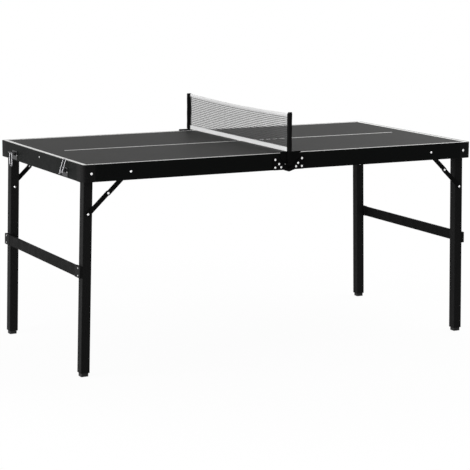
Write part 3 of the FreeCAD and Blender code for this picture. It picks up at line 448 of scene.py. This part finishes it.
def cloth(name, greys, roughness, specular, scale, bump):
    """A woven finish, whose colour speckles between two greys and whose bump is the speckle."""
    low, high = greys
    finish = Finish(name, grey(high), roughness, specular, scale)
    finish.color(finish.blend(finish.fine, grey(low), grey(high)))
    finish.bump(bump, WEAVE_DEPTH)
    return finish


def skin(sections):
    """Closed skins through stacks of outlines, given as (skins, outlines, corners, 3). A face joins a
    side of one outline to the same side of the next, and the first and last outlines are capped."""
    index = np.arange(sections[..., 0].size).reshape(sections.shape[:3])
    after = np.roll(index, -1, axis=2)
    quads = np.stack((index[:, :-1], index[:, 1:], after[:, 1:], after[:, :-1]), axis=-1)
    return sections.reshape(-1, 3), [quads.reshape(-1, 4), index[:, 0], index[:, -1, ::-1]]


def tubes(paths, radius):
    """Round tubes along paths, given as (tubes, stations, 3). A point is the path plus the radius times
    (the cosine on one axis across the path and the sine on the other), at evenly spaced angles."""
    ahead = np.gradient(paths, axis=1)
    ahead /= np.linalg.norm(ahead, axis=2, keepdims=True)
    first = np.cross(ahead, (1.0, 0.0, 0.0))
    first /= np.linalg.norm(first, axis=2, keepdims=True)
    second = np.cross(ahead, first)
    angle = np.arange(THREAD_SIDES)[:, None] * 2 * math.pi / THREAD_SIDES
    ring = np.cos(angle) * first[:, :, None] + np.sin(angle) * second[:, :, None]
    return skin(paths[:, :, None] + radius * ring)


def merged(*shapes):
    """Several shapes as one: their points in a row, and each face's numbers moved on to suit."""
    starts = np.cumsum([0] + [len(points) for points, _ in shapes])
    groups = [faces + start for (_, owned), start in zip(shapes, starts) for faces in owned]
    return np.concatenate([points for points, _ in shapes]), groups


def piece(name, shape, finish):
    """A smooth mesh object at the origin, with its faces turned outwards."""
    points, groups = shape
    mesh = bpy.data.meshes.new(name)
    mesh.from_pydata(points.tolist(), [], [face for faces in groups for face in faces.tolist()])
    mesh.polygons.foreach_set("use_smooth", np.ones(len(mesh.polygons), dtype=bool))
    work = bmesh.new()
    work.from_mesh(mesh)
    bmesh.ops.recalc_face_normals(work, faces=work.faces)
    work.to_mesh(mesh)
    work.free()
    mesh.materials.append(finish.material)
    made = bpy.data.objects.new(name, mesh)
    scene.collection.objects.link(made)
    return made


net_low, net_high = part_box("net_mesh")


def net_lift(y):
    """How far the net's upper edge is from level: a straight rise to the back post, less a parabola
    that is deepest in the middle."""
    t = (y - net_low.y) / (net_high.y - net_low.y)
    return TAPE_RISE * t - TAPE_SAG * 4 * t * (1 - t)


thread = cloth("net_thread", (0.075, 0.125), roughness=0.8, specular=0.2, scale=2500, bump=0.3)
span = net_high.y - net_low.y
fall = net_high.z - net_low.z
rows = round(fall / NET_PITCH)
columns = round(span / NET_PITCH)
row_share = (np.arange(rows) + 0.5) / rows
column_y = net_low.y + span * (np.arange(columns) + 0.5) / columns
station_y = np.linspace(net_low.y, net_high.y, columns + 1)
station_share = np.linspace(0, 1, rows + 1)
row_z = net_low.z + row_share[:, None] * (fall + net_lift(station_y))
upright_z = net_low.z + station_share * (fall + net_lift(column_y)[:, None])
row_paths = np.stack(np.broadcast_arrays(0.0, station_y, row_z), axis=-1)
upright_paths = np.stack(np.broadcast_arrays(0.0, column_y[:, None], upright_z), axis=-1)
threads = merged(tubes(row_paths, ROW_RADIUS), tubes(upright_paths, UPRIGHT_RADIUS))
net = piece("net_threads", threads, thread)
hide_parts("net_mesh")
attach(net, "net_set")

# Tapes: white woven bands, folded in two over the net's upper and lower edges and sewn through. The
# upper one's white is painted greyer as painted shade, and follows the net's sag; the lower one is level.
CLOTH = 0.0004
FOLD_POINTS = 9
TAPE_STATIONS = 60


def folded_band(name, low, high, up, lift, finish):
    """A band folded in two along its length, as a U swept along Y. Its outline runs up one leg, round a
    half circle as wide as the fold and down the other, then back one cloth's thickness further in."""
    half = (high.x - low.x) / 2
    turn = np.linspace(math.pi, 0, FOLD_POINTS)
    straight = high.z - low.z - half
    sides = []
    for reach in (half, half - CLOTH):
        x = np.concatenate(([-reach], reach * np.cos(turn), [reach]))
        z = np.concatenate(([0], straight + reach * np.sin(turn), [0]))
        sides.append(np.stack((x, z), axis=-1))
    outline = np.concatenate((sides[0], sides[1][::-1]))
    foot, direction = (low.z, 1) if up else (high.z, -1)
    y = np.linspace(low.y, high.y, TAPE_STATIONS)
    z = foot + direction * outline[:, 1] + lift(y)[:, None]
    sections = np.stack(np.broadcast_arrays(outline[:, 0], y[:, None], z), axis=-1)
    band = piece(name, skin(sections[None]), finish)
    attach(band, "net_set")
    return band


white_cloth = cloth("white_tape", (0.85, 0.93), roughness=0.8, specular=0.3, scale=1800, bump=0.3)
# The upper tape uses the same white cloth in darker greys, which is painted shade and not a different
# cloth.
shaded_tape_cloth = cloth("white_tape_painted_shade", (0.60, 0.72), roughness=0.85, specular=0.2, scale=1800, bump=0.3)
top_tape = folded_band("top_tape", *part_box("net_top_tape"), True, net_lift, shaded_tape_cloth)
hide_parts("net_top_tape")
bottom_tape = folded_band("bottom_tape", *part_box("net_bottom_tape"), False, np.zeros_like, white_cloth)
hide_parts("net_bottom_tape")

# Sleeves: black woven cloth drawn over each post and sewn flat beside it into a band that takes the
# net. The back one's band is slack and bellies out towards the net.
SLEEVE_HALF = (0.0082, 0.0054)
SLEEVE_DEPTH = 0.007
SLEEVE_RINGS = 41
SLEEVE_SIDES = 32
SLACK = 0.0012
SWELL = 0.0002
SWELL_WAVES = 2.5
BAND_THICKNESS = 0.0026
BAND_WIDTH = 0.004
BAND_LAP = 0.0006
BELLY = {"front": 0.0, "back": 0.0065}
BELLY_AT = 0.55
BELLY_REACH = 0.27

sleeve_low, sleeve_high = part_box("net_sleeves")
_, post_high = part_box("net_posts")
sleeve_cloth = cloth("sleeve_cloth", (0.003, 0.008), roughness=0.9, specular=0.08, scale=1600, bump=0.4)


def sleeve(name, row):
    """A tube of cloth with a flat band beside it. The tube is a rounded oblong, |x/a|^4 + |y/b|^4 = 1,
    that swells and narrows a little with height; the band's edge follows a bell curve over its height."""
    wide, deep = SLEEVE_HALF
    share = np.linspace(0, 1, SLEEVE_RINGS)
    angle = np.arange(SLEEVE_SIDES) * 2 * math.pi / SLEEVE_SIDES
    round_x = np.sign(np.cos(angle)) * np.sqrt(np.abs(np.cos(angle)))
    round_y = np.sign(np.sin(angle)) * np.sqrt(np.abs(np.sin(angle)))
    middle = row * (post_high.y - SLEEVE_DEPTH / 2)
    rise = TAPE_RISE if row > 0 else 0.0
    z = sleeve_low.z + share * (sleeve_high.z + rise - sleeve_low.z)
    swell = SWELL * np.sin(2 * math.pi * SWELL_WAVES * share + row)
    walls = []
    for inside in (0.0, CLOTH):
        x = (wide - inside + swell)[:, None] * round_x - SLACK
        y = middle + (deep - inside + swell)[:, None] * round_y
        walls.append(np.stack(np.broadcast_arrays(x, y, z[:, None]), axis=-1))
    loop = np.concatenate((walls[0], walls[1][::-1]))
    index = np.arange(loop[..., 0].size).reshape(loop.shape[:2])
    after = np.roll(index, -1, axis=1)
    quads = np.stack((index, after, np.roll(after, -1, axis=0), np.roll(index, -1, axis=0)), axis=-1)
    tube = (loop.reshape(-1, 3), [quads.reshape(-1, 4)])

    belly = BAND_WIDTH + BELLY[name] * np.exp(-((share - BELLY_AT) / BELLY_REACH) ** 2)
    root = np.full_like(z, middle - row * (deep - BAND_LAP))
    edge = middle - row * (deep + belly)
    shoulder = edge + row * BAND_LAP
    thick = BAND_THICKNESS / 2
    x = np.array((-thick, -thick, -thick / 2, thick / 2, thick, thick))
    y = np.stack((root, shoulder, edge, edge, shoulder, root), axis=1)
    band = skin(np.stack(np.broadcast_arrays(x, y, z[:, None]), axis=-1)[None])

    made = piece(f"{name}_sleeve", merged(tube, band), sleeve_cloth)
    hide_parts("net_sleeves")
    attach(made, "net_set")


sleeve("front", -1)
sleeve("back", 1)
